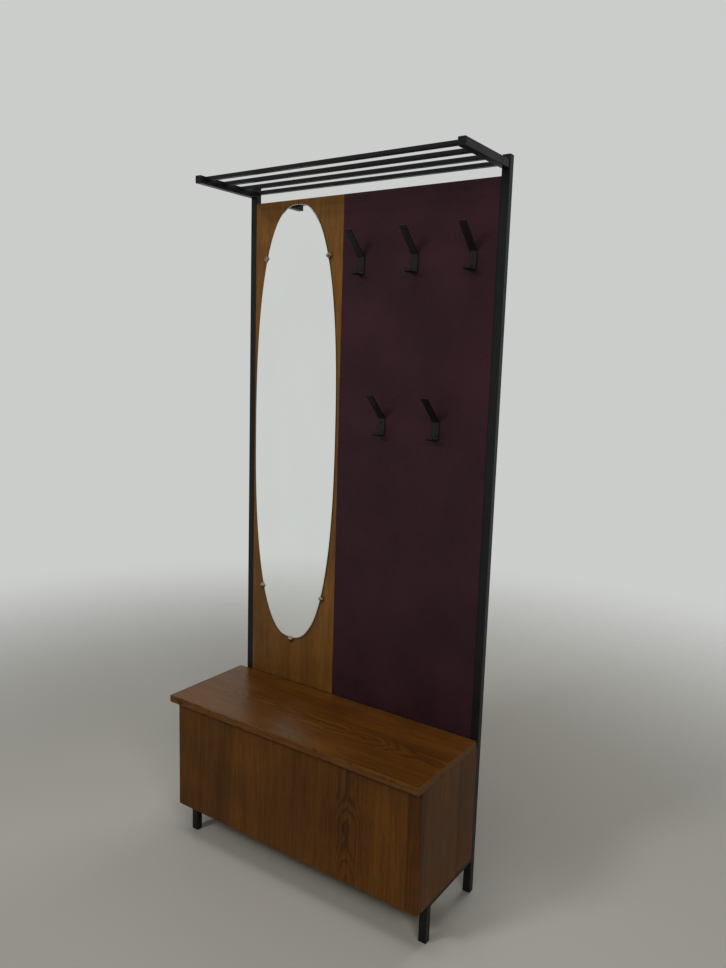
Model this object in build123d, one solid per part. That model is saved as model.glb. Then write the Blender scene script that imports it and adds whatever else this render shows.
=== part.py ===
"""Hall stand: a steel frame with a hat rack, an oval mirror on a veneered panel,
a covered panel with coat hooks, and a bench chest with a hinged lid.

Millimetres, +Z up. X runs along the width, to the right as seen from the front, and
the front faces -Y. The origin is on the floor, at the middle of the overall width
and depth. Each separate piece is one node, written to parts/NODE.step.
"""
from build123d import *

import math
import os
from collections import namedtuple

# ---------------------------------------------------------------- driving dimensions
OVERALL_HEIGHT = 1950.0
OVERALL_DEPTH = 330.0
FRAME_WIDTH = 834.0          # over the outer faces of the two uprights
TUBE = 20.0                  # depth of the uprights and legs; the rack bars are square
POST_WIDTH = 22.0            # width of the uprights and legs, seen from the front
SLAT_TUBE = (15.0, 10.0)     # depth and height of the rack slats
RAIL_TUBE = (POST_WIDTH, 10.0)   # width and height of the base rails
TUBE_WALL = 1.5
TUBE_RADIUS = 1.8            # outer corner radius of every tube

SEAT_HEIGHT = 452.0          # top of the lid
CHEST_BOTTOM = 105.0
BOARD = 18.0                 # chest boards
LID_THICKNESS = 20.0
LID_REAR_GAP = 6.5           # from the lid's rear edge to the panels, for the hinge
LID_FRONT_OVERHANG = 19.0
LID_LEFT_OVERHANG = 18.0
LID_REST_GAP = 0.3           # between the lid and the chest boards that it rests on
CHEST_PROUD_LEFT = 4.0       # the chest stands this far outside the left upright

PANEL_TOP = 1900.0
PANEL_BOTTOM = 400.0
PANEL_THICKNESS = 16.0
COVER_THICKNESS = 1.0
MIRROR_PANEL_WIDTH = 322.0

RACK_REACH = 228.0           # from the uprights' front faces to the bars' front ends
RACK_TOP = 1937.0
SLAT_PITCH = 69.0
SLAT_COUNT = 4

LEG_SETBACK = 48.0           # from the chest's front face to the front legs
GLIDE_HEIGHT = 6.0
CAP_HEIGHT = 4.0

MIRROR_HALF_WIDTH = 152.0
MIRROR_HALF_HEIGHT = 648.0
MIRROR_CENTRE_Z = 1239.0
MIRROR_POWER = 2.47          # exponent of the superellipse that the glass follows
MIRROR_THICKNESS = 4.0
MIRROR_BEVEL = 3.0
MIRROR_BEVEL_DEPTH = 0.7
CLIP_RISE = 500.0            # side clips above and below the mirror's middle
CLIP_SQUARE = 15.0

HOOK_WIDTH = 20.0
HOOK_STRIP = 3.0
HOOK_PLATE = 48.0
HOOK_ARM_REACH = 71.0
HOOK_ARM_RISE = 64.0
HOOK_PRONG_REACH = 36.0
HOOK_PRONG_RISE = 12.0
HOOK_SPACING = 170.0
UPPER_HOOK_Z = 1704.0        # middle of the upper hooks' plates
LOWER_HOOK_Z = 1270.0

LID_OPEN_ANGLE = 80.0

# ------------------------------------------------------------------- derived planes
OVERALL_WIDTH = FRAME_WIDTH + CHEST_PROUD_LEFT + LID_LEFT_OVERHANG
RIGHT = OVERALL_WIDTH / 2
LEFT = -RIGHT
FRAME_LEFT = RIGHT - FRAME_WIDTH
REAR = OVERALL_DEPTH / 2
FRONT = -REAR
POST_FRONT = REAR - TUBE                 # also the front plane of both panels
INNER_LEFT = FRAME_LEFT + POST_WIDTH
INNER_RIGHT = RIGHT - POST_WIDTH
POST_CENTRES = {"left": FRAME_LEFT + POST_WIDTH / 2, "right": RIGHT - POST_WIDTH / 2}

CHEST_LEFT = FRAME_LEFT - CHEST_PROUD_LEFT
CHEST_FRONT = FRONT + LID_FRONT_OVERHANG
CHEST_TOP = SEAT_HEIGHT - LID_THICKNESS - LID_REST_GAP
LID_BOTTOM = SEAT_HEIGHT - LID_THICKNESS
LID_REAR = POST_FRONT - LID_REAR_GAP
LEG_FRONT = CHEST_FRONT + LEG_SETBACK
SEAM_X = INNER_LEFT + MIRROR_PANEL_WIDTH
RAIL_BOTTOM = CHEST_BOTTOM - RAIL_TUBE[1]

MIRROR_CENTRE_X = (INNER_LEFT + SEAM_X) / 2
COAT_PANEL_CENTRE_X = (SEAM_X + INNER_RIGHT) / 2

# Axis directions for tubes, plugs and screws
ALONG_X = dict(x_dir=(0, 1, 0), z_dir=(1, 0, 0))
ALONG_Y = dict(x_dir=(1, 0, 0), z_dir=(0, 1, 0))
ALONG_Z = dict(x_dir=(1, 0, 0), z_dir=(0, 0, 1))
DOWN_Z = dict(x_dir=(1, 0, 0), z_dir=(0, 0, -1))
FORWARD = dict(x_dir=(1, 0, 0), z_dir=(0, -1, 0))

SOFT_EDGE = 0.8              # small rounding on boards
CHEST_CORNER = 6.0           # rounding of the chest front's lower corners
FIT_GAP = 0.1                # clearance between a screw and its hole

Screw = namedtuple("Screw", "shank_radius head_radius head_height length")
PANEL_SCREW = Screw(2.0, 4.0, 2.2, 16.0)
HOOK_SCREW = Screw(1.9, 3.7, 1.9, 15.0)
HINGE_SCREW = Screw(1.2, 2.1, 0.9, 12.0)
RAIL_SCREW = Screw(2.2, 4.3, 2.4, 42.0)
STAY_SCREW = Screw(1.5, 2.8, 1.4, 12.0)


# -------------------------------------------------------------------------- helpers
def block(x_span, y_span, z_span):
    """A box between the given limits."""
    size = [span[1] - span[0] for span in (x_span, y_span, z_span)]
    low = (x_span[0], y_span[0], z_span[0])
    return Pos(*low) * Box(*size, align=(Align.MIN, Align.MIN, Align.MIN))


def board(x_span, y_span, z_span, radius=SOFT_EDGE):
    """A board with all of its edges slightly rounded."""
    shape = block(x_span, y_span, z_span)
    return fillet(shape.edges(), radius)


def front_board(x_span, y_span, z_span):
    """A board seen from the front, with its two lower corners rounded."""
    shape = block(x_span, y_span, z_span)
    corners = shape.edges().filter_by(Axis.Y).group_by(Axis.Z)[0]
    return fillet(fillet(corners, CHEST_CORNER).edges(), SOFT_EDGE)


def tube(start, length, direction, width, height):
    """A rectangular tube from the centre of its first end, along a direction."""
    outer = RectangleRounded(width, height, TUBE_RADIUS)
    inner = RectangleRounded(width - 2 * TUBE_WALL, height - 2 * TUBE_WALL, TUBE_RADIUS - TUBE_WALL)
    return extrude(Plane(origin=start, **direction) * (outer - inner), length)


def end_plug(start, direction, plate_height, insert_length, width=POST_WIDTH):
    """A plastic plug for a tube: a plate, and an insert that goes into the tube.

    The start is the middle of the tube's end, and the direction leads out of the tube.
    """
    margin = 2 * (TUBE_WALL + FIT_GAP)
    plate = extrude(RectangleRounded(width, TUBE, TUBE_RADIUS), plate_height)
    plate = chamfer(plate.faces().sort_by(Axis.Z)[-1].edges(), 0.8)
    insert = extrude(Rectangle(width - margin, TUBE - margin), -insert_length)
    return Plane(origin=start, **direction) * (plate + insert)


def screw(spec, clearance=0.0, slotted=True):
    """A countersunk screw with its head's top at the origin, pointing down -Z.

    A spec whose head is no wider than its shank is a plain pin, for a straight hole.
    """
    down = (Align.CENTER, Align.CENTER, Align.MAX)
    shape = Cylinder(spec.shank_radius + clearance, spec.length + clearance, align=down)
    if spec.head_radius > spec.shank_radius:
        radii = (spec.shank_radius + clearance, spec.head_radius + clearance)
        shape += Cone(*radii, spec.head_height, align=down)
    if slotted:
        shape -= Box(2 * spec.head_radius + 1, 0.25 * spec.head_radius, 0.9 * spec.head_height)
    return shape


def placed(shape, point, outward):
    """The shape with its +Z turned to the outward direction, at the point."""
    return Plane(origin=point, z_dir=outward) * shape


def screws(spec, points, outward):
    """A group of identical screws, as separate solids."""
    return Compound(children=[placed(screw(spec), point, outward) for point in points])


def drilled(part, spec, points, outward):
    """The part with a countersunk hole for a screw at each point."""
    for point in points:
        part -= placed(screw(spec, FIT_GAP, slotted=False), point, outward)
    return part


def evenly(low, high, count):
    """Evenly spaced values from low to high, both included."""
    return [low + (high - low) * i / (count - 1) for i in range(count)]


# ---------------------------------------------------------------------- steel frame
def uprights():
    """The two full-height tubes, with their top caps and floor glides."""
    nodes = {}
    length = OVERALL_HEIGHT - CAP_HEIGHT - GLIDE_HEIGHT
    for side, centre_x in POST_CENTRES.items():
        centre = (centre_x, REAR - TUBE / 2)
        bottom = (*centre, GLIDE_HEIGHT)
        top = (*centre, OVERALL_HEIGHT - CAP_HEIGHT)
        nodes[f"{side}_upright"] = tube(bottom, length, ALONG_Z, POST_WIDTH, TUBE)
        nodes[f"{side}_upright_cap"] = end_plug(top, ALONG_Z, CAP_HEIGHT, 14)
        nodes[f"{side}_rear_glide"] = end_plug(bottom, DOWN_Z, GLIDE_HEIGHT, 18)
    return nodes


def base_frame():
    """Front legs with glides, side rails and cross rails under the chest."""
    nodes = {}
    width, height = RAIL_TUBE
    rail_z = RAIL_BOTTOM + height / 2
    rail_length = POST_FRONT - LEG_FRONT
    for side, centre_x in POST_CENTRES.items():
        foot = (centre_x, LEG_FRONT + TUBE / 2, GLIDE_HEIGHT)
        nodes[f"{side}_front_leg"] = tube(foot, RAIL_BOTTOM - GLIDE_HEIGHT, ALONG_Z, POST_WIDTH, TUBE)
        nodes[f"{side}_front_glide"] = end_plug(foot, DOWN_Z, GLIDE_HEIGHT, 18)
        rail = tube((centre_x, LEG_FRONT, rail_z), rail_length, ALONG_Y, width, height)
        nodes[f"{side}_side_rail"] = drilled_rail(rail, centre_x)
    for name, centre_y in (("front", LEG_FRONT + width / 2), ("rear", POST_FRONT - width / 2)):
        start = (INNER_LEFT, centre_y, rail_z)
        nodes[f"{name}_cross_rail"] = tube(start, INNER_RIGHT - INNER_LEFT, ALONG_X, width, height)
    return nodes


def rail_screw_points():
    """Where the chest's sides are screwed down to the side rails, from below."""
    lines = (CHEST_LEFT + 0.6 * BOARD, RIGHT - 0.5 * BOARD)
    return [(x, y, RAIL_BOTTOM) for x in lines for y in (LEG_FRONT + 50, POST_FRONT - 50)]


def drilled_rail(rail, centre_x):
    """A side rail with the holes for its own two screws."""
    points = [p for p in rail_screw_points() if abs(p[0] - centre_x) < POST_WIDTH]
    return drilled(rail, RAIL_SCREW, points, (0, 0, -1))


def hat_rack():
    """Two bars that reach forward from the uprights, their end caps, and four slats.

    The bars are flush with the uprights' inner faces, so that all slats are equal.
    """
    nodes = {}
    bar_z = RACK_TOP - TUBE / 2
    cap = 3.0
    front = POST_FRONT - RACK_REACH
    for side, centre_x in (("left", INNER_LEFT - TUBE / 2), ("right", INNER_RIGHT + TUBE / 2)):
        start = (centre_x, front + cap, bar_z)
        nodes[f"{side}_rack_bar"] = tube(start, RACK_REACH - cap, ALONG_Y, TUBE, TUBE)
        nodes[f"{side}_rack_bar_cap"] = end_plug(start, FORWARD, cap, 14, TUBE)
    depth, height = SLAT_TUBE
    for index in range(SLAT_COUNT):
        slat_front = POST_FRONT - (SLAT_COUNT - 1 - index) * SLAT_PITCH
        start = (INNER_LEFT, slat_front + depth / 2, RACK_TOP - height / 2)
        slat = tube(start, INNER_RIGHT - INNER_LEFT, ALONG_X, depth, height)
        nodes[f"rack_slat_{index + 1}"] = slat
    return nodes


# --------------------------------------------------------------------------- panels
PANEL_RAIL_HEIGHT = 25.0
PANEL_RAIL_Z = {"upper": 1840.0, "middle": 1180.0, "lower": 470.0}


def panel_screw_points():
    """Screws through the flat rails into the backs of both panels, as (x, z)."""
    across = evenly(INNER_LEFT + 40, SEAM_X - 40, 2) + evenly(SEAM_X + 40, INNER_RIGHT - 40, 3)
    return [(x, z) for z in PANEL_RAIL_Z.values() for x in across]


def panel_rails():
    """Flat bars welded between the uprights, which carry the panels."""
    nodes = {}
    for name, centre_z in PANEL_RAIL_Z.items():
        height = (centre_z - PANEL_RAIL_HEIGHT / 2, centre_z + PANEL_RAIL_HEIGHT / 2)
        rail = block((INNER_LEFT, INNER_RIGHT), (POST_FRONT + PANEL_THICKNESS, REAR), height)
        points = [(x, REAR, z) for x, z in panel_screw_points() if z == centre_z]
        nodes[f"{name}_panel_rail"] = drilled(rail, PANEL_SCREW, points, (0, 1, 0))
    return nodes


def panels():
    """The veneered mirror panel, the coat panel's board, and the cover wrapped round it."""
    height = (PANEL_BOTTOM, PANEL_TOP)
    depth = (POST_FRONT, POST_FRONT + PANEL_THICKNESS)
    backs = [(x, REAR, z) for x, z in panel_screw_points()]
    mirror_panel = board((INNER_LEFT, SEAM_X), depth, height)
    mirror_panel = drilled(mirror_panel, PANEL_SCREW, [p for p in backs if p[0] < SEAM_X], (0, 1, 0))
    mirror_panel = drilled(mirror_panel, CLIP_HOLE, clip_points(), (0, -1, 0))
    mirror_panel = drilled(mirror_panel, HINGE_SCREW, hinge_screw_points()[:3], (0, -1, 0))

    skin = COVER_THICKNESS
    core = block((SEAM_X + skin, INNER_RIGHT - skin), (depth[0] + skin, depth[1]),
                 (PANEL_BOTTOM + skin, PANEL_TOP - skin))
    cover = board((SEAM_X, INNER_RIGHT), depth, height) - core
    coat_board = drilled(core, PANEL_SCREW, [p for p in backs if p[0] > SEAM_X], (0, 1, 0))
    hook_holes = [p for centre in hook_centres() for p in hook_screw_points(centre)]
    coat_board = drilled(coat_board, HOOK_SCREW, hook_holes, (0, -1, 0))
    cover = drilled(cover, HOOK_SCREW, hook_holes, (0, -1, 0))
    hinge_holes = hinge_screw_points()[3:]
    coat_board = drilled(coat_board, HINGE_SCREW, hinge_holes, (0, -1, 0))
    cover = drilled(cover, HINGE_SCREW, hinge_holes, (0, -1, 0))
    return {
        "mirror_panel": mirror_panel,
        "coat_panel_board": coat_board,
        "coat_panel_cover": cover,
        "panel_screws": screws(PANEL_SCREW, backs, (0, 1, 0)),
    }


# --------------------------------------------------------------------------- mirror
MIRROR_OUTLINE_POINTS = 48
CLIP_SHANK = 1.5
CLIP_SLEEVE = 2.6
CLIP_OUTSIDE = 3.3           # from the glass edge to the middle of a clip
CLIP_BASE = 1.5
CLIP_PEAK = 4.5
CLIP_HOLE = Screw(CLIP_SHANK, CLIP_SHANK, 1.0, 12.0)


def mirror_outline(inset):
    """The glass outline, a superellipse, brought in by an inset all round."""
    half_width = MIRROR_HALF_WIDTH - inset
    half_height = MIRROR_HALF_HEIGHT - inset
    points = []
    for index in range(MIRROR_OUTLINE_POINTS):
        angle = 2 * math.pi * index / MIRROR_OUTLINE_POINTS
        across = math.copysign(abs(math.cos(angle)) ** (2 / MIRROR_POWER), math.cos(angle))
        up = math.copysign(abs(math.sin(angle)) ** (2 / MIRROR_POWER), math.sin(angle))
        points.append((half_width * across, half_height * up))
    return make_face(Spline(points, periodic=True))


def mirror_half_width_at(rise):
    """Half the width of the glass at a height above or below its middle."""
    share = 1 - (rise / MIRROR_HALF_HEIGHT) ** MIRROR_POWER
    return MIRROR_HALF_WIDTH * share ** (1 / MIRROR_POWER)


def clip_points():
    """Middles of the five clips on the panel's front: two high, two low, one at the bottom."""
    reach = mirror_half_width_at(CLIP_RISE) + CLIP_OUTSIDE
    bottom_z = MIRROR_CENTRE_Z - MIRROR_HALF_HEIGHT - CLIP_OUTSIDE
    sides = [(MIRROR_CENTRE_X + s * reach, POST_FRONT, MIRROR_CENTRE_Z + r)
             for r in (CLIP_RISE, -CLIP_RISE) for s in (-1, 1)]
    return sides + [(MIRROR_CENTRE_X, POST_FRONT, bottom_z)]


def mirror_clip():
    """A pyramid head on a round shank, with the panel's front at the origin."""
    head_base = MIRROR_THICKNESS + FIT_GAP
    square = Rot(0, 0, 45) * Rectangle(CLIP_SQUARE, CLIP_SQUARE)
    plate = Pos(0, 0, head_base) * extrude(square, CLIP_BASE)
    tip = Pos(0, 0, head_base + CLIP_BASE + CLIP_PEAK) * Rot(0, 0, 45) * Rectangle(0.8, 0.8)
    peak = loft([Pos(0, 0, head_base + CLIP_BASE) * square, tip])
    shank = Cylinder(CLIP_SHANK, CLIP_HOLE.length + head_base, align=(Align.CENTER, Align.CENTER, Align.MAX))
    return plate + peak + Pos(0, 0, head_base) * shank


def clip_sleeve():
    """The plastic sleeve on a clip's shank, which keeps the metal off the glass edge."""
    ring = Circle(CLIP_SLEEVE) - Circle(CLIP_SHANK + FIT_GAP / 2)
    return extrude(ring, MIRROR_THICKNESS + FIT_GAP)


def mirror():
    """The bevelled glass and its five clips with their sleeves."""
    back = Plane(origin=(MIRROR_CENTRE_X, POST_FRONT, MIRROR_CENTRE_Z), x_dir=(1, 0, 0), z_dir=(0, -1, 0))
    body = extrude(mirror_outline(0), MIRROR_THICKNESS - MIRROR_BEVEL_DEPTH)
    low = Pos(0, 0, MIRROR_THICKNESS - MIRROR_BEVEL_DEPTH) * mirror_outline(0)
    high = Pos(0, 0, MIRROR_THICKNESS) * mirror_outline(MIRROR_BEVEL)
    glass = back * (body + loft([low, high]))
    clips = [placed(mirror_clip(), point, (0, -1, 0)) for point in clip_points()]
    sleeves = [placed(clip_sleeve(), point, (0, -1, 0)) for point in clip_points()]
    return {
        "mirror_glass": glass,
        "mirror_clips": Compound(children=clips),
        "mirror_clip_sleeves": Compound(children=sleeves),
    }


# ----------------------------------------------------------------------- coat hooks
def hook_centres():
    """Middles of the hook plates on the coat panel, by name."""
    upper = [("upper_left", -1.0), ("upper_middle", 0.0), ("upper_right", 1.0)]
    lower = [("lower_left", -0.5), ("lower_right", 0.5)]
    places = [(name, step, UPPER_HOOK_Z) for name, step in upper]
    places += [(name, step, LOWER_HOOK_Z) for name, step in lower]
    return [(name, COAT_PANEL_CENTRE_X + step * HOOK_SPACING, z) for name, step, z in places]


def hook_screw_points(centre):
    """The two screws of one hook, on the front face of its plate."""
    _, x, z = centre
    return [(x, POST_FRONT - HOOK_STRIP, z + offset) for offset in (-12, 13)]


def coat_hook(centre):
    """A bent steel strip: a long arm up and forward, a plate, and a short turned-up prong."""
    _, x, z = centre
    half = HOOK_STRIP / 2
    top = HOOK_PLATE / 2
    path = FilletPolyline(
        (HOOK_ARM_REACH - half, top + HOOK_ARM_RISE),
        (half, top),
        (half, -top + half),
        (HOOK_PRONG_REACH - half, -top + half),
        (HOOK_PRONG_REACH - half, -top + HOOK_PRONG_RISE),
        radius=6,
    )
    profile = trace(path, line_width=HOOK_STRIP)
    strip = extrude(profile, HOOK_WIDTH / 2, both=True)
    tips = strip.edges().filter_by(lambda edge: abs(edge.length - HOOK_STRIP) < 0.01)
    strip = fillet(tips, 3.5)
    # The sketch's x is the distance in front of the panel, and its y is the height
    plane = Plane(origin=(x, POST_FRONT, z), x_dir=(0, -1, 0), z_dir=(-1, 0, 0))
    return drilled(plane * strip, HOOK_SCREW, hook_screw_points(centre), (0, -1, 0))


def coat_hooks():
    """The five hooks and their screws."""
    nodes = {f"{centre[0]}_hook": coat_hook(centre) for centre in hook_centres()}
    points = [p for centre in hook_centres() for p in hook_screw_points(centre)]
    nodes["hook_screws"] = screws(HOOK_SCREW, points, (0, -1, 0))
    return nodes


# ---------------------------------------------------------------------------- chest
CORNER_BLOCK = 20.0
BOTTOM_BOARD = 16.0


def chest():
    """Five boards, the corner blocks that join them, and the screws to the base frame."""
    height = (CHEST_BOTTOM, CHEST_TOP)
    inner_left = CHEST_LEFT + BOARD
    inner_right = RIGHT - BOARD
    inner_front = CHEST_FRONT + BOARD
    inner_rear = POST_FRONT - BOARD
    sides = {
        "left": board((CHEST_LEFT, inner_left), (inner_front, POST_FRONT), height),
        "right": board((inner_right, RIGHT), (inner_front, POST_FRONT), height),
    }
    holes = rail_screw_points()
    right_side = drilled(sides["right"], RAIL_SCREW, holes[2:], (0, 0, -1))
    right_side = drilled(right_side, STAY_SCREW_HOLE, [stay_stud_root()], (-1, 0, 0))
    blocks = [
        block((x, x + CORNER_BLOCK), (y, y + CORNER_BLOCK), (CHEST_BOTTOM + BOTTOM_BOARD, CHEST_TOP - 32))
        for x in (inner_left, inner_right - CORNER_BLOCK)
        for y in (inner_front, inner_rear - CORNER_BLOCK)
    ]
    return {
        "chest_front": front_board((CHEST_LEFT, RIGHT), (CHEST_FRONT, inner_front), height),
        "chest_left_side": drilled(sides["left"], RAIL_SCREW, holes[:2], (0, 0, -1)),
        "chest_right_side": right_side,
        "chest_back": board((inner_left, inner_right), (inner_rear, POST_FRONT), height),
        "chest_bottom": block((inner_left, inner_right), (inner_front, inner_rear),
                              (CHEST_BOTTOM, CHEST_BOTTOM + BOTTOM_BOARD)),
        "chest_corner_blocks": Compound(children=blocks),
        "chest_rail_screws": screws(RAIL_SCREW, holes, (0, 0, -1)),
    }


# ---------------------------------------------------------------- lid and its hinge
LIPPING = 4.0
HINGE_AXIS = (POST_FRONT - 3.0, SEAT_HEIGHT - 3.0)     # y and z
KNUCKLE_RADIUS = 2.6
PIN_RADIUS = 1.2
RUNNING_GAP = 0.05
KNUCKLE_PITCH = 30.0
KNUCKLE_COUNT = 26
LEAF_BOTTOM = LID_BOTTOM + 1.0
LEAF_TOP = HINGE_AXIS[1] - KNUCKLE_RADIUS - 0.4
HINGE_START = (INNER_LEFT + INNER_RIGHT - KNUCKLE_PITCH * KNUCKLE_COUNT) / 2
FIXED_LEAF = (POST_FRONT - 1.1, POST_FRONT)
MOVING_LEAF = (LID_REAR, LID_REAR + 1.2)


def hinge_screw_points(face=FIXED_LEAF[0]):
    """Screw heads along one leaf of the hinge, on the leaf's inner face."""
    middle_z = (LEAF_BOTTOM + LEAF_TOP) / 2
    end = HINGE_START + KNUCKLE_PITCH * KNUCKLE_COUNT
    return [(x, face, middle_z) for x in evenly(HINGE_START + 20, end - 20, 8)]


def hinge_leaf(leaf, first):
    """One leaf with every second knuckle, counted from the first."""
    axis_y, axis_z = HINGE_AXIS
    end = HINGE_START + KNUCKLE_PITCH * KNUCKLE_COUNT
    shape = block((HINGE_START, end), leaf, (LEAF_BOTTOM, LEAF_TOP))
    for index in range(first, KNUCKLE_COUNT, 2):
        low = HINGE_START + index * KNUCKLE_PITCH + 0.2
        high = low + KNUCKLE_PITCH - 0.4
        barrel = Plane(origin=(low, axis_y, axis_z), **ALONG_X) * extrude(Circle(KNUCKLE_RADIUS), high - low)
        shape += block((low, high), leaf, (LEAF_TOP, axis_z)) + barrel
    bore = Circle(PIN_RADIUS + RUNNING_GAP)
    bore_plane = Plane(origin=(HINGE_START - 1, axis_y, axis_z), **ALONG_X)
    return shape - extrude(bore_plane * bore, end - HINGE_START + 2)


def hinge():
    """A continuous hinge between the panels and the lid's rear edge."""
    axis_y, axis_z = HINGE_AXIS
    end = HINGE_START + KNUCKLE_PITCH * KNUCKLE_COUNT
    pin_plane = Plane(origin=(HINGE_START, axis_y, axis_z), **ALONG_X)
    pin = extrude(pin_plane * Circle(PIN_RADIUS), end - HINGE_START)
    fixed = hinge_screw_points()
    moving = hinge_screw_points(MOVING_LEAF[1])
    return {
        "hinge_panel_leaf": drilled(hinge_leaf(FIXED_LEAF, 0), HINGE_SCREW, fixed, (0, -1, 0)),
        "hinge_lid_leaf": drilled(hinge_leaf(MOVING_LEAF, 1), HINGE_SCREW, moving, (0, 1, 0)),
        "hinge_pin": pin,
        "hinge_panel_screws": screws(HINGE_SCREW, fixed, (0, -1, 0)),
        "hinge_lid_screws": screws(HINGE_SCREW, moving, (0, 1, 0)),
    }


def lid():
    """The lid's board, with solid wood lipping on its front and ends."""
    height = (LID_BOTTOM, SEAT_HEIGHT)
    ends = (FRONT + LIPPING, LID_REAR)
    inner = board((LEFT + LIPPING, RIGHT - LIPPING), ends, height, 0.3)
    inner = drilled(inner, HINGE_SCREW, hinge_screw_points(MOVING_LEAF[1]), (0, 1, 0))
    inner = drilled(inner, STAY_SCREW, bracket_screw_points(), (0, 0, -1))
    return {
        "lid_board": inner,
        "lid_front_lipping": board((LEFT, RIGHT), (FRONT, FRONT + LIPPING), height, 1.2),
        "lid_left_lipping": board((LEFT, LEFT + LIPPING), ends, height, 1.2),
        "lid_right_lipping": board((RIGHT - LIPPING, RIGHT), ends, height, 1.2),
    }


# ------------------------------------------------------------------------- lid stay
STAY_PIVOT = (-6.0, 418.0)            # y and z of the pivot under the closed lid
STAY_STUD_ANGLE = 30.0                # below the horizontal, seen from the hinge axis
STAY_ARM_WIDTH = 14.0
STAY_SLOT_WIDTH = 6.0
STAY_STUD_RADIUS = 2.5
STAY_ARM_X = (RIGHT - BOARD - 5.5, RIGHT - BOARD - 3.5)
STAY_BRACKET_X = (RIGHT - BOARD - 9.0, RIGHT - BOARD - 7.0)
STAY_STUD_DEPTH = 10.0
STAY_SCREW_HOLE = Screw(STAY_STUD_RADIUS, STAY_STUD_RADIUS, 1.0, STAY_STUD_DEPTH)


def stay_radius():
    """The pivot and the stud are equally far from the hinge axis.

    The arm then turns, relative to the lid, by exactly half of the lid's angle.
    """
    return math.dist(HINGE_AXIS, STAY_PIVOT)


def stay_stud_point():
    """The stud's y and z on the inside of the chest's right side."""
    angle = math.radians(STAY_STUD_ANGLE)
    radius = stay_radius()
    return (HINGE_AXIS[0] - radius * math.cos(angle), HINGE_AXIS[1] - radius * math.sin(angle))


def stay_stud_root():
    """Where the stud enters the chest's right side."""
    return (RIGHT - BOARD, *stay_stud_point())


def stay_reach(lid_angle):
    """Distance from the pivot to the stud when the lid is open by an angle."""
    pivot_drop = math.degrees(math.asin((HINGE_AXIS[1] - STAY_PIVOT[1]) / stay_radius()))
    between = STAY_STUD_ANGLE - pivot_drop + lid_angle
    return 2 * stay_radius() * math.sin(math.radians(between / 2))


def stay_arm():
    """The slotted arm: its slot's ends stop the lid when it is shut and fully open."""
    near = stay_reach(0) - 1.5
    far = stay_reach(LID_OPEN_ANGLE) + 0.4
    length = far + STAY_ARM_WIDTH / 2
    outline = Pos(length / 2, 0) * SlotCenterToCenter(length, STAY_ARM_WIDTH)
    slot = Pos((near + far) / 2, 0) * SlotCenterToCenter(far - near, STAY_SLOT_WIDTH)
    profile = outline - slot - Circle(STAY_STUD_RADIUS + RUNNING_GAP)
    stud_y, stud_z = stay_stud_point()
    direction = (0, stud_y - STAY_PIVOT[0], stud_z - STAY_PIVOT[1])
    plane = Plane(origin=(STAY_ARM_X[0], *STAY_PIVOT), x_dir=direction, z_dir=(1, 0, 0))
    return extrude(plane * profile, STAY_ARM_X[1] - STAY_ARM_X[0])


def bracket_screw_points():
    """Two screws from the bracket's flange up into the lid."""
    flange_x = STAY_BRACKET_X[0] - 8
    return [(flange_x, STAY_PIVOT[0] + offset, LID_BOTTOM - 2) for offset in (-14, 14)]


def stay_bracket():
    """An angle bracket under the lid, whose lug carries the arm's pivot."""
    pivot_y, pivot_z = STAY_PIVOT
    flange = block((STAY_BRACKET_X[0] - 16, STAY_BRACKET_X[1]), (pivot_y - 22, pivot_y + 22),
                   (LID_BOTTOM - 2, LID_BOTTOM))
    lug = block(STAY_BRACKET_X, (pivot_y - 9, pivot_y + 9), (pivot_z, LID_BOTTOM))
    lug += Plane(origin=(STAY_BRACKET_X[0], *STAY_PIVOT), **ALONG_X) * extrude(Circle(9), 2)
    shape = flange + lug
    hole = Plane(origin=(STAY_BRACKET_X[0] - 1, *STAY_PIVOT), **ALONG_X)
    shape -= extrude(hole * Circle(STAY_STUD_RADIUS + RUNNING_GAP), 4)
    return drilled(shape, STAY_SCREW, bracket_screw_points(), (0, 0, -1))


def turned_pin(point, steps):
    """A pin along +X from a point, turned to (radius, length) steps one after another."""
    shape = None
    x, y, z = point
    for radius, length in steps:
        step = extrude(Plane(origin=(x, y, z), **ALONG_X) * Circle(radius), length)
        shape = step if shape is None else shape + step
        x += length
    return shape


def lid_stay():
    """The slotted arm, its bracket and rivet on the lid, and the stud in the chest's side."""
    pivot = (STAY_BRACKET_X[0] - 1.5, *STAY_PIVOT)
    rivet_shank = STAY_ARM_X[1] + 0.3 - STAY_BRACKET_X[0]
    stud_start = (RIGHT - BOARD - 8.3, *stay_stud_point())
    head, spacer = 1.8, 3.0
    neck = 8.3 - head - spacer
    return {
        "stay_arm": stay_arm(),
        "stay_bracket": stay_bracket(),
        "stay_bracket_screws": screws(STAY_SCREW, bracket_screw_points(), (0, 0, -1)),
        "stay_rivet": turned_pin(pivot, ((4.5, 1.5), (STAY_STUD_RADIUS, rivet_shank), (4.5, 1.3))),
        "stay_stud": turned_pin(stud_start, ((5.0, head), (STAY_STUD_RADIUS, neck), (5.0, spacer),
                                             (STAY_STUD_RADIUS - FIT_GAP, STAY_STUD_DEPTH))),
    }


# --------------------------------------------------------------------------- output
def build():
    """Every node of the hall stand, by name."""
    nodes = {}
    for section in (uprights, base_frame, hat_rack, panel_rails, panels, mirror, coat_hooks,
                    chest, lid, hinge, lid_stay):
        nodes.update(section())
    return nodes


def main():
    os.makedirs("parts", exist_ok=True)
    for name, shape in build().items():
        shape.label = name
        export_step(shape, f"parts/{name}.step")


main()
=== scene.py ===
from collections import namedtuple
from math import radians

import bpy
from mathutils import Matrix, Vector

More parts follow.
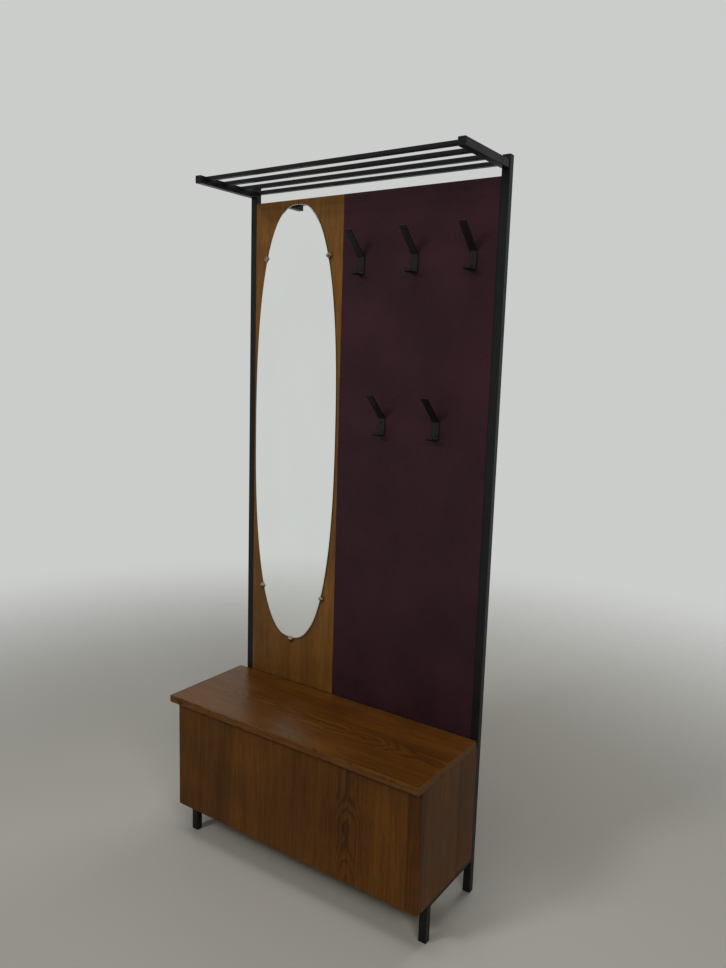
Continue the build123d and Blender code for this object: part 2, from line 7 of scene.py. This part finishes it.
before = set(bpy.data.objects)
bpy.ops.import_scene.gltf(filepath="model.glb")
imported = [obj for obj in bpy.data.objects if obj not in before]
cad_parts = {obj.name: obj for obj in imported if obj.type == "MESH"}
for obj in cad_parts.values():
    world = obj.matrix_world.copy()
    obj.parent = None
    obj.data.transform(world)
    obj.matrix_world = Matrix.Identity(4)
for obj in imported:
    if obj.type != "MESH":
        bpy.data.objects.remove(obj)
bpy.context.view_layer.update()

# Everything is in metres, in the CAD frame: X to the right, Y to the back, Z up, floor at z = 0.
MM = 0.001

# Camera: where it stands, where it points, and its lens on a 36 mm sensor
CAMERA_AT = Vector((1.276, -1.686, 1.445))
CAMERA_HEADING = 34.25  # degrees, turned left from +Y
CAMERA_DOWN = 8.77
CAMERA_ROLL = 1.77
CAMERA_LENS = 29.36

# Studio
BACKGROUND = (0.645, 0.655, 0.640)
FILL = 0.20  # the surround's strength as a light, against its strength as a background
FLOOR_COLOUR = (0.49, 0.475, 0.435)
PICTURE_GAMMA = 0.86
FLOOR_SIZE = 14.0
FLOOR_FADE = (1.1, 3.7)  # distances from the middle between which the floor fades out

# Lights: where each stands, the point it is aimed at, its two sizes and its watts
Lamp = namedtuple("Lamp", "at aim size power")
LAMPS = {
    "left_light": Lamp((-1.2, -3.0, 2.9), (0.0, 0.1, 0.9), (0.8, 0.6), 50.0),
    "right_light": Lamp((2.6, -2.1, 2.6), (0.0, 0.0, 0.7), (1.3, 0.9), 38.0),
    "top_light": Lamp((0.1, -0.7, 3.6), (0.0, 0.0, 0.4), (1.6, 1.2), 27.0),
    "back_light": Lamp((0.4, 3.0, 2.6), (0.0, 0.1, 0.9), (1.6, 1.2), 34.0),
}

# Colours of paint, plastic, glass and leathercloth
FRAME_PAINT = (0.011, 0.012, 0.0125)
FRAME_RUBBED = (0.10, 0.095, 0.09)
HOOK_PAINT = (0.0055, 0.0055, 0.006)
HOOK_RUBBED = (0.10, 0.095, 0.085)
DUST = (0.055, 0.053, 0.048)
PLASTIC = (0.014, 0.014, 0.014)
PLASTIC_SCUFFED = (0.07, 0.07, 0.068)
SILVERING = (0.985, 1.0, 0.99)
GLASS_RIM = (0.05, 0.12, 0.095)
LEATHERCLOTH = (0.044, 0.0155, 0.0215)
# the next colour is painted shade, darkening the leathercloth grain's creases
LEATHERCLOTH_CREASE_SHADE = (0.0198, 0.0070, 0.0097)
LEATHERCLOTH_BLUER = (0.044, 0.0178, 0.0269)

# Wood tones, from light to dark: the ground, the late wood, the ring lines and the pores
Tones = namedtuple("Tones", "light dark line pore")
WALNUT = Tones(
    light=(0.152, 0.061, 0.0090),
    dark=(0.114, 0.043, 0.0052),
    line=(0.052, 0.0175, 0.0028),
    pore=(0.020, 0.007, 0.0015),
)
HONEY = Tones(
    light=(0.205, 0.098, 0.0215),
    dark=(0.152, 0.069, 0.0135),
    line=(0.105, 0.043, 0.0085),
    pore=(0.060, 0.025, 0.0055),
)
PINE = Tones(
    light=(0.49, 0.34, 0.19),
    dark=(0.41, 0.27, 0.14),
    line=(0.33, 0.20, 0.10),
    pore=(0.24, 0.15, 0.08),
)
WALNUT_WORN = (0.319, 0.128, 0.0189)
LIPPING_RUBBED = (0.24, 0.125, 0.040)

# How veneer is cut and laid: the axes across and along the grain; where, across the grain, the
# log's middle lies behind the surface, so that the ring lines arch there and run straight further
# out; the width of a leaf; a seed for the leaves' chances; and how much deeper the log's middle
# lies for each metre along the grain
Cut = namedtuple("Cut", "across along crown leaf seed taper", defaults=(0.06,))
PANEL_CUT = Cut("x", "z", crown=-0.31, leaf=0.162, seed=3.0)
FRONT_CUT = Cut("x", "z", crown=0.212, leaf=0.118, seed=155.0)
SIDE_CUT = Cut("y", "z", crown=-0.02, leaf=0.137, seed=5.0)
LID_CUT = Cut("y", "x", crown=-0.03, leaf=0.40, seed=2.0, taper=0.05)
RAW_CUT = Cut("x", "z", crown=0.1, leaf=1.0, seed=1.0)

# The log: its middle's depth behind the surface, how far that wanders along the grain and
# differs between leaves, the width of a year's ring, and the rings' waviness in ring widths
PITH_DEPTH = 0.045
PITH_WANDER = 0.09
PITH_SHARE = 0.012
RING_WIDTH = 5.2 * MM
RING_WAVES = 2.4

GRAIN_DRAW = 0.045  # how fast the grain's noises change along it, against across it
LEAF_SHIFT = 7.0  # how far apart two leaves' parts of a noise can lie

# Directions in which a board shows its plain unstained back: a sign and an axis
BACKWARD = (1, "y")
DOWNWARD = (-1, "z")

AXES = {"x": 0, "y": 1, "z": 2}
MIX_A, MIX_B, MIX_RESULT = 6, 7, 2  # the colour sockets of a Mix node
SHADER_SOCKETS = {
    "colour": "Base Color",
    "metal": "Metallic",
    "roughness": "Roughness",
    "ior_level": "Specular IOR Level",
    "normal": "Normal",
    "alpha": "Alpha",
}


class Surface:
    """One procedural material. Each method adds a node and returns the socket to use next."""

    def __init__(self, name):
        self.material = bpy.data.materials.new(name)
        self.material.use_nodes = True
        self.tree = self.material.node_tree
        self.shader = self.tree.nodes["Principled BSDF"]
        self.own = self.add("ShaderNodeTexCoord").outputs
        self.place = self.own["Object"]

    def add(self, kind, **settings):
        node = self.tree.nodes.new(kind)
        for name, value in settings.items():
            setattr(node, name, value)
        return node

    def feed(self, socket, value):
        """Links a socket, or sets a plain number or colour."""
        if isinstance(value, bpy.types.NodeSocket):
            self.tree.links.new(value, socket)
        elif isinstance(value, tuple) and socket.type == "RGBA":
            socket.default_value = (*value, 1.0)
        else:
            socket.default_value = value

    def finish(self, **values):
        """Feeds the shader by the names in SHADER_SOCKETS, and returns the material."""
        for name, value in values.items():
            self.feed(self.shader.inputs[SHADER_SOCKETS[name]], value)
        return self.material

    def math(self, operation, *values):
        node = self.add("ShaderNodeMath", operation=operation)
        for socket, value in zip(node.inputs, values):
            self.feed(socket, value)
        return node.outputs[0]

    def plus(self, a, b):
        return self.math("ADD", a, b)

    def minus(self, a, b):
        return self.math("SUBTRACT", a, b)

    def times(self, a, b):
        return self.math("MULTIPLY", a, b)

    def size(self, a):
        """A number without its sign."""
        return self.math("ABSOLUTE", a)

    def stretched(self, factors):
        """The place times a factor along each axis. A small factor draws a texture out there."""
        node = self.add("ShaderNodeVectorMath", operation="MULTIPLY")
        self.feed(node.inputs[0], self.place)
        self.feed(node.inputs[1], factors)
        return node.outputs[0]

    def shifted(self, place, amount):
        """A place moved by the same amount along all three axes."""
        node = self.add("ShaderNodeVectorMath", operation="ADD")
        self.feed(node.inputs[0], place)
        self.feed(node.inputs[1], self.scaled((1.0, 1.0, 1.0), amount))
        return node.outputs[0]

    def axis(self, name, of=None):
        """One part of the place, or of another vector."""
        node = self.add("ShaderNodeSeparateXYZ")
        self.feed(node.inputs[0], of or self.place)
        return node.outputs[AXES[name]]

    def facing(self, name):
        """The surface normal's part along one of the piece's own axes."""
        return self.axis(name, self.own["Normal"])

    def noise(self, scale, detail=3.0, rough=0.5, at=None):
        """Smooth noise about 0.5, with about as many lumps in a metre as its scale."""
        node = self.add("ShaderNodeTexNoise")
        self.feed(node.inputs["Vector"], at or self.place)
        self.feed(node.inputs["Scale"], scale)
        self.feed(node.inputs["Detail"], detail)
        self.feed(node.inputs["Roughness"], rough)
        return node.outputs["Fac"]

    def patches(self, scale, start, end, detail=5.0, rough=0.5):
        """Patches with soft edges: from 0 to 1 where a noise goes from start to end."""
        return self.steps(self.noise(scale, detail, rough), start, end)

    def cells(self, scale, feature):
        """A distance in a pattern of cells, with about as many cells in a metre as its scale."""
        node = self.add("ShaderNodeTexVoronoi", feature=feature)
        self.feed(node.inputs["Vector"], self.place)
        self.feed(node.inputs["Scale"], scale)
        return node.outputs["Distance"]

    def chance(self, number, seed):
        """Three random numbers from 0 to 1 that go with a number."""
        node = self.add("ShaderNodeTexWhiteNoise", noise_dimensions="1D")
        self.feed(node.inputs["W"], self.plus(number, seed))
        split = self.add("ShaderNodeSeparateColor")
        self.feed(split.inputs[0], node.outputs["Color"])
        return tuple(split.outputs)

    def steps(self, value, start, end, at_start=0.0, at_end=1.0):
        """A smooth step from at_start, where value is start, to at_end, where it is end."""
        node = self.add("ShaderNodeMapRange", interpolation_type="SMOOTHSTEP")
        for socket, number in zip(node.inputs, (value, start, end, at_start, at_end)):
            self.feed(socket, number)
        return node.outputs[0]

    def mix(self, factor, a, b):
        """Colour a where the factor is 0, and colour b where it is 1."""
        node = self.add("ShaderNodeMix", data_type="RGBA")
        self.feed(node.inputs[0], factor)
        self.feed(node.inputs[MIX_A], a)
        self.feed(node.inputs[MIX_B], b)
        return node.outputs[MIX_RESULT]

    def scaled(self, colour, factor):
        """A colour made lighter or darker by a number."""
        node = self.add("ShaderNodeVectorMath", operation="SCALE")
        self.feed(node.inputs[0], colour)
        self.feed(node.inputs["Scale"], factor)
        return node.outputs[0]

    def bump(self, height, depth, under=None):
        """A height from 0 to 1 stands for a real depth in metres."""
        node = self.add("ShaderNodeBump")
        self.feed(node.inputs["Height"], height)
        self.feed(node.inputs["Distance"], depth)
        if under:
            self.feed(node.inputs["Normal"], under)
        return node.outputs["Normal"]

    def edges(self, radius):
        """About 1 along sharp outer edges, fading to 0 a radius away from them."""
        bevel = self.add("ShaderNodeBevel", samples=6)
        self.feed(bevel.inputs["Radius"], radius)
        product = self.add("ShaderNodeVectorMath", operation="DOT_PRODUCT")
        self.feed(product.inputs[0], bevel.outputs["Normal"])
        self.feed(product.inputs[1], self.add("ShaderNodeNewGeometry").outputs["Normal"])
        return self.steps(product.outputs["Value"], 0.98, 0.82)

    def worn_edges(self, radius, patches):
        """Edges that are worn only where the patches are."""
        return self.times(self.edges(radius), patches)


# ------------------------------------------------------------------------- paint and metal
def paint(name, colour, rubbed, roughness=0.36, gleam=0.25):
    """Satin paint on steel: soft mottle, orange peel, dust on top and rubbed edges."""
    s = Surface(name)
    cloud = s.noise(14.0, detail=4.0)
    dust = s.times(s.steps(s.facing("z"), 0.6, 0.95), s.patches(60.0, 0.35, 0.7))
    rub = s.worn_edges(1.6 * MM, s.patches(75.0, 0.5, 0.68, rough=0.65))

    tone = s.scaled(colour, s.steps(cloud, 0.25, 0.75, 0.8, 1.25))
    tone = s.mix(s.times(dust, 0.35), tone, DUST)
    tone = s.mix(s.times(rub, 0.35), tone, rubbed)
    peel = s.bump(s.noise(850.0, detail=1.0), depth=0.02 * MM)
    normal = s.bump(s.noise(110.0, detail=2.0), depth=0.10 * MM, under=peel)
    mottle = s.steps(cloud, 0.3, 0.7, roughness - 0.06, roughness + 0.08)
    gloss = s.plus(mottle, s.times(dust, 0.2))
    return s.finish(colour=tone, roughness=gloss, normal=normal, ior_level=gleam)


def moulded_plastic(name):
    """Matt black plastic with the fine pitted texture of its mould."""
    s = Surface(name)
    pits = s.noise(2600.0, detail=2.0)
    scuffed = s.worn_edges(1.2 * MM, s.patches(240.0, 0.48, 0.6, detail=3.0))
    tone = s.scaled(PLASTIC, s.steps(s.noise(90.0, detail=4.0), 0.3, 0.7, 0.75, 1.4))
    tone = s.mix(s.times(scuffed, 0.5), tone, PLASTIC_SCUFFED)
    gloss = s.steps(pits, 0.3, 0.7, 0.48, 0.64)
    normal = s.bump(pits, depth=0.03 * MM)
    return s.finish(colour=tone, roughness=gloss, normal=normal, ior_level=0.2)


def metal(name, colour, tarnish, spread, roughness, brushed="x"):
    """Bare or plated metal: fine brushing along one axis, and tarnish in patches.

    spread is how much of the surface is tarnished, from 0 to 1.
    """
    s = Surface(name)
    drawn = tuple(0.04 if axis == brushed else 1.0 for axis in AXES)
    brushing = s.noise(4200.0, detail=2.0, at=s.stretched(drawn))
    start = 0.62 - 0.3 * spread
    patches = s.patches(130.0, start, start + 0.16, rough=0.6)
    tone = s.scaled(colour, s.steps(brushing, 0.3, 0.7, 0.9, 1.08))
    tone = s.mix(s.times(patches, 0.8), tone, tarnish)
    sheen = s.steps(brushing, 0.3, 0.7, roughness - 0.06, roughness + 0.06)
    gloss = s.plus(sheen, s.times(patches, 0.22))
    normal = s.bump(brushing, depth=0.015 * MM)
    return s.finish(colour=tone, roughness=gloss, metal=1.0, normal=normal)


def silvered_glass(name):
    """The mirror: bright silvering, a green cut rim, a softly ground bevel and faint wipe marks."""
    s = Surface(name)
    frontal = s.size(s.facing("y"))
    rim = s.steps(frontal, 0.2, 0.5, 1.0, 0.0)
    ground = s.steps(frontal, 0.985, 0.995, 0.22, 0.0)
    wiped = s.noise(9.0, detail=4.0, at=s.stretched((1.0, 1.0, 0.5)))
    silver = s.scaled(SILVERING, s.steps(wiped, 0.3, 0.7, 0.985, 1.0))
    tone = s.mix(rim, silver, GLASS_RIM)
    gloss = s.plus(ground, s.steps(wiped, 0.45, 0.75, 0.0, 0.035))
    return s.finish(colour=tone, roughness=gloss, metal=s.minus(1.0, rim))


# ------------------------------------------------------------------------------------ wood
def grain_place(s, along, slip):
    """The place that the grain's noises use: drawn out along it, with a part for each leaf."""
    drawn = s.stretched(tuple(GRAIN_DRAW if axis == along else 1.0 for axis in AXES))
    return s.shifted(drawn, s.times(slip, LEAF_SHIFT))


def pith_depth(s, cut, share):
    """How deep the log's middle lies behind the surface."""
    only_along = tuple(1.0 if axis == cut.along else 0.0 for axis in AXES)
    wander = s.minus(s.noise(2.6, detail=2.0, at=s.stretched(only_along)), 0.5)
    depth = s.plus(PITH_DEPTH, s.times(wander, PITH_WANDER))
    depth = s.plus(depth, s.times(s.axis(cut.along), cut.taper))
    return s.plus(depth, s.times(share, PITH_SHARE))


def ring_lines(s, offset, depth, place):
    """The late wood's lines, from 0 to 1, where the rings round the log's middle are cut."""
    reach = s.math("SQRT", s.plus(s.times(offset, offset), s.times(depth, depth)))
    waves = s.times(s.noise(46.0, detail=3.0, at=place), RING_WAVES)
    phase = s.math("FRACT", s.plus(s.math("DIVIDE", reach, RING_WIDTH), waves))
    return s.times(s.steps(phase, 0.35, 0.92), s.steps(phase, 1.0, 0.95))


def ring_strength(s, offset, place):
    """How plainly the ring lines show: in patches, and mostly near the log's middle."""
    patches = s.steps(s.noise(9.0, detail=2.0, at=place), 0.34, 0.62, 0.35, 1.0)
    return s.times(patches, s.steps(s.size(offset), 0.025, 0.08, 1.0, 0.22))


def stain(s, tones, place, fibre, line, pores):
    """The wood's colour: light and dark fibre, streaks and bands, ring lines and pores."""
    streak = s.steps(s.noise(34.0, detail=2.0, at=place), 0.5, 0.72, 0.0, 0.5)
    band = s.steps(s.noise(15.0, detail=4.0, rough=0.6, at=place), 0.48, 0.66, 0.0, 0.40)
    tone = s.mix(s.steps(fibre, 0.34, 0.66), tones.light, tones.dark)
    tone = s.mix(streak, tone, tones.dark)
    tone = s.mix(band, tone, tones.line)
    tone = s.mix(line, tone, tones.line)
    return s.mix(s.times(pores, 0.6), tone, tones.pore)


def bare_back(s, tone, fibre, direction):
    """The tone, with plain unstained wood on the face in the given direction."""
    sign, axis = direction
    plain = s.mix(s.steps(fibre, 0.3, 0.7), PINE.light, PINE.dark)
    return s.mix(s.steps(s.times(s.facing(axis), sign), 0.4, 0.8), tone, plain)


def veneer(name, tones, cut, figure=0.6, bare=None, roughness=0.4, wear=0.0, gleam=0.2):
    """Stained wood in leaves side by side, cut from one log.

    figure is how strongly the ring lines show, bare is the direction of a plain back, and wear
    is how light the rubbed edges are.
    """
    s = Surface(name)
    across = s.axis(cut.across)
    leaf = s.math("FLOOR", s.math("DIVIDE", s.minus(across, cut.crown + cut.leaf / 2), cut.leaf))
    slip, shade, share = s.chance(leaf, cut.seed)
    place = grain_place(s, cut.along, slip)
    offset = s.minus(across, cut.crown)
    line = ring_lines(s, offset, pith_depth(s, cut, share), place)
    shown_line = s.times(s.times(line, ring_strength(s, offset, place)), figure)
    fibre = s.noise(150.0, detail=5.0, rough=0.62, at=place)
    pores = s.steps(s.noise(1300.0, detail=2.0, at=place), 0.56, 0.66)
    pores = s.times(pores, s.plus(0.35, s.times(line, 0.65)))
    cloud = s.noise(5.5, detail=3.0)

    tone = stain(s, tones, place, fibre, shown_line, pores)
    leaf_shade = s.steps(shade, 0.0, 1.0, -0.15, 0.12)
    tone = s.scaled(tone, s.plus(leaf_shade, s.steps(cloud, 0.3, 0.7, 0.86, 1.16)))
    if bare:
        tone = bare_back(s, tone, fibre, bare)
    if wear:
        worn = s.worn_edges(2.2 * MM, s.patches(38.0, 0.42, 0.6, rough=0.6))
        tone = s.mix(s.times(worn, wear), tone, WALNUT_WORN)
    gloss = s.steps(cloud, 0.3, 0.7, roughness - 0.05, roughness + 0.07)
    gloss = s.plus(gloss, s.times(pores, 0.15))
    normal = s.bump(s.minus(fibre, s.times(pores, 0.8)), depth=0.10 * MM)
    return s.finish(colour=tone, roughness=gloss, normal=normal, ior_level=gleam)


def lipping(name, rub):
    """The lid's solid walnut edging: rubbed lighter along its edges, with dark chips and dents."""
    s = Surface(name)
    fibre = s.noise(220.0, detail=4.0, at=s.stretched((0.06, 1.0, 1.0)))
    rubbed = s.worn_edges(2.5 * MM, s.patches(11.0, 0.42, 0.58, rough=0.65))
    dents = s.noise(48.0, detail=5.0, rough=0.7, at=s.stretched((0.45, 1.0, 1.0)))
    rough_spots = s.steps(s.noise(5.0, detail=2.0), 0.42, 0.60, 0.15, 1.0)
    chips = s.times(s.steps(dents, 0.54, 0.62), rough_spots)

    tone = s.mix(s.steps(fibre, 0.34, 0.66), WALNUT.light, WALNUT.dark)
    tone = s.mix(s.times(rubbed, rub), tone, LIPPING_RUBBED)
    tone = s.mix(s.times(chips, 0.75), tone, WALNUT.pore)
    normal = s.bump(s.minus(fibre, s.times(chips, 3.0)), depth=0.12 * MM)
    gloss = s.plus(0.42, s.times(chips, 0.25))
    return s.finish(colour=tone, roughness=gloss, normal=normal, ior_level=0.3)


# ---------------------------------------------------------------------------- leathercloth
def leathercloth(name):
    """Plum leathercloth on the coat panel: pebbled grain with painted shade in its creases, soft
    mottle and a dull sheen.
    """
    s = Surface(name)
    pebbles = s.cells(620.0, "SMOOTH_F1")
    creases = s.cells(380.0, "DISTANCE_TO_EDGE")
    cloud = s.noise(6.0, detail=4.0)
    blotch = s.noise(30.0, detail=5.0, rough=0.6)

    mottle = s.plus(s.steps(cloud, 0.28, 0.72, 0.76, 1.18), s.steps(blotch, 0.3, 0.7, -0.08, 0.12))
    tone = s.scaled(LEATHERCLOTH, mottle)
    # painted shade: the grain's sunken creases are darkened in colour
    tone = s.mix(s.steps(creases, 0.0, 0.16, 0.55, 0.0), tone, LEATHERCLOTH_CREASE_SHADE)
    tone = s.mix(s.steps(s.noise(3.0), 0.5, 0.75, 0.0, 0.3), tone, LEATHERCLOTH_BLUER)
    height = s.plus(s.times(s.steps(creases, 0.0, 0.25), 0.7), s.times(pebbles, -0.5))
    normal = s.bump(height, depth=0.16 * MM)
    gloss = s.plus(s.steps(blotch, 0.3, 0.7, 0.46, 0.58), s.steps(creases, 0.0, 0.2, 0.12, 0.0))
    return s.finish(colour=tone, roughness=gloss, normal=normal, ior_level=0.3)


# -------------------------------------------------------------------------------- finishes
def clip_metal():
    """Aged nickel-plated brass."""
    return metal("clip_metal", (0.42, 0.36, 0.27), tarnish=(0.12, 0.085, 0.05), spread=0.5,
                 roughness=0.28, brushed="z")


def zinc_steel():
    """Zinc-plated steel."""
    return metal("zinc_steel", (0.46, 0.46, 0.45), tarnish=(0.16, 0.14, 0.12), spread=0.4,
                 roughness=0.38)


def hinge_steel():
    """Steel that has darkened with age."""
    return metal("hinge_steel", (0.10, 0.085, 0.07), tarnish=(0.035, 0.028, 0.022), spread=0.8,
                 roughness=0.45)


def dark_steel():
    """Blackened steel of the hooks' screws."""
    return metal("dark_screw", (0.05, 0.048, 0.045), tarnish=(0.02, 0.018, 0.016), spread=0.4,
                 roughness=0.42)


def finishes():
    """The material for each of the record's slots."""
    return {
        "frame_paint": paint("black_paint", FRAME_PAINT, FRAME_RUBBED),
        "hook_paint": paint("hook_paint", HOOK_PAINT, HOOK_RUBBED, roughness=0.38, gleam=0.42),
        "black_plastic": moulded_plastic("black_plastic"),
        "honey_veneer": veneer("honey_veneer", HONEY, PANEL_CUT, 0.35, BACKWARD, gleam=0.34),
        "walnut_veneer": veneer("walnut_front", WALNUT, FRONT_CUT, 0.85, BACKWARD, wear=0.35),
        "raw_wood": veneer("raw_wood", PINE, RAW_CUT, 0.4, roughness=0.68),
        "burgundy_cover": leathercloth("burgundy_cover"),
        "mirror": silvered_glass("mirror"),
        "clip_metal": clip_metal(),
        "zinc_steel": zinc_steel(),
    }


def chest_side(name, inward):
    """An end of the chest: walnut outside, plain inside. inward is the sign of X there."""
    return veneer(name, WALNUT, SIDE_CUT, bare=(inward, "x"), roughness=0.36, wear=0.35)


def lid_board():
    """The lid's top, glossier than the chest's sides, and plain below."""
    return veneer("walnut_lid", WALNUT, LID_CUT, bare=DOWNWARD, roughness=0.30, wear=0.4,
                  gleam=0.38)


def special_finishes():
    """Nodes that differ from the rest of their slot."""
    hinge = hinge_steel()
    return {
        "lid_board": lid_board(),
        "lid_front_lipping": lipping("lipping_front", rub=0.55),
        "lid_left_lipping": lipping("lipping_left", rub=0.25),
        "lid_right_lipping": lipping("lipping_right", rub=0.10),
        "chest_left_side": chest_side("walnut_left_side", 1),
        "chest_right_side": chest_side("walnut_right_side", -1),
        "hinge_panel_leaf": hinge,
        "hinge_lid_leaf": hinge,
        "hinge_pin": hinge,
        "hook_screws": dark_steel(),
    }


def dress(nodes):
    """Gives every CAD node its finish."""
    by_slot = finishes()
    by_node = special_finishes()
    for name, node in nodes.items():
        for slot in node.material_slots:
            slot.material = by_node.get(name) or by_slot[slot.material.name]


# ---------------------------------------------------------------------------------- studio
def added(name, data):
    """A new object in the scene."""
    made = bpy.data.objects.new(name, data)
    bpy.context.scene.collection.objects.link(made)
    return made


def floor():
    """A plain pale floor that fades into the background."""
    mesh = bpy.data.meshes.new("floor")
    half = FLOOR_SIZE / 2
    corners = [(-half, -half, 0.0), (half, -half, 0.0), (half, half, 0.0), (-half, half, 0.0)]
    mesh.from_pydata(corners, [], [(0, 1, 2, 3)])
    s = Surface("floor")
    distance = s.add("ShaderNodeVectorMath", operation="LENGTH")
    s.feed(distance.inputs[0], s.place)
    alpha = s.steps(distance.outputs["Value"], *FLOOR_FADE, 1.0, 0.0)
    mesh.materials.append(s.finish(colour=FLOOR_COLOUR, roughness=0.6, ior_level=0.3, alpha=alpha))
    added("floor", mesh)


def surround():
    """An even pale background, which is weaker as a light than it looks."""
    world = bpy.data.worlds.new("studio")
    bpy.context.scene.world = world
    world.use_nodes = True
    nodes = world.node_tree.nodes
    background = nodes["Background"]
    background.inputs["Color"].default_value = (*BACKGROUND, 1.0)
    ray = nodes.new("ShaderNodeLightPath")
    strength = nodes.new("ShaderNodeMapRange")
    strength.inputs["To Min"].default_value = 1.0
    strength.inputs["To Max"].default_value = FILL
    world.node_tree.links.new(ray.outputs["Is Diffuse Ray"], strength.inputs["Value"])
    world.node_tree.links.new(strength.outputs["Result"], background.inputs["Strength"])


def soft_light(name, lamp):
    """A rectangular light that neither the camera nor a glossy surface sees."""
    light = bpy.data.lights.new(name, "AREA")
    light.shape = "RECTANGLE"
    light.size, light.size_y = lamp.size
    light.energy = lamp.power
    made = added(name, light)
    made.visible_camera = False
    made.visible_glossy = False
    made.location = lamp.at
    direction = Vector(lamp.aim) - Vector(lamp.at)
    made.rotation_euler = direction.to_track_quat("-Z", "Y").to_euler()


def studio():
    """The surround and the floor, with soft lights high in front, overhead and behind."""
    surround()
    for name, lamp in LAMPS.items():
        soft_light(name, lamp)
    bpy.context.scene.view_settings.view_transform = "Standard"
    bpy.context.scene.view_settings.gamma = PICTURE_GAMMA
    floor()


def camera():
    """The camera, from its heading, tilt and roll."""
    data = bpy.data.cameras.new("camera")
    data.lens = CAMERA_LENS
    made = added("camera", data)
    turn = Matrix.Rotation(radians(CAMERA_HEADING), 4, "Z")
    tip = Matrix.Rotation(radians(90 - CAMERA_DOWN), 4, "X")
    roll = Matrix.Rotation(radians(CAMERA_ROLL), 4, "Z")
    made.matrix_world = Matrix.Translation(CAMERA_AT) @ turn @ tip @ roll
    bpy.context.scene.camera = made


dress(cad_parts)
studio()
camera()
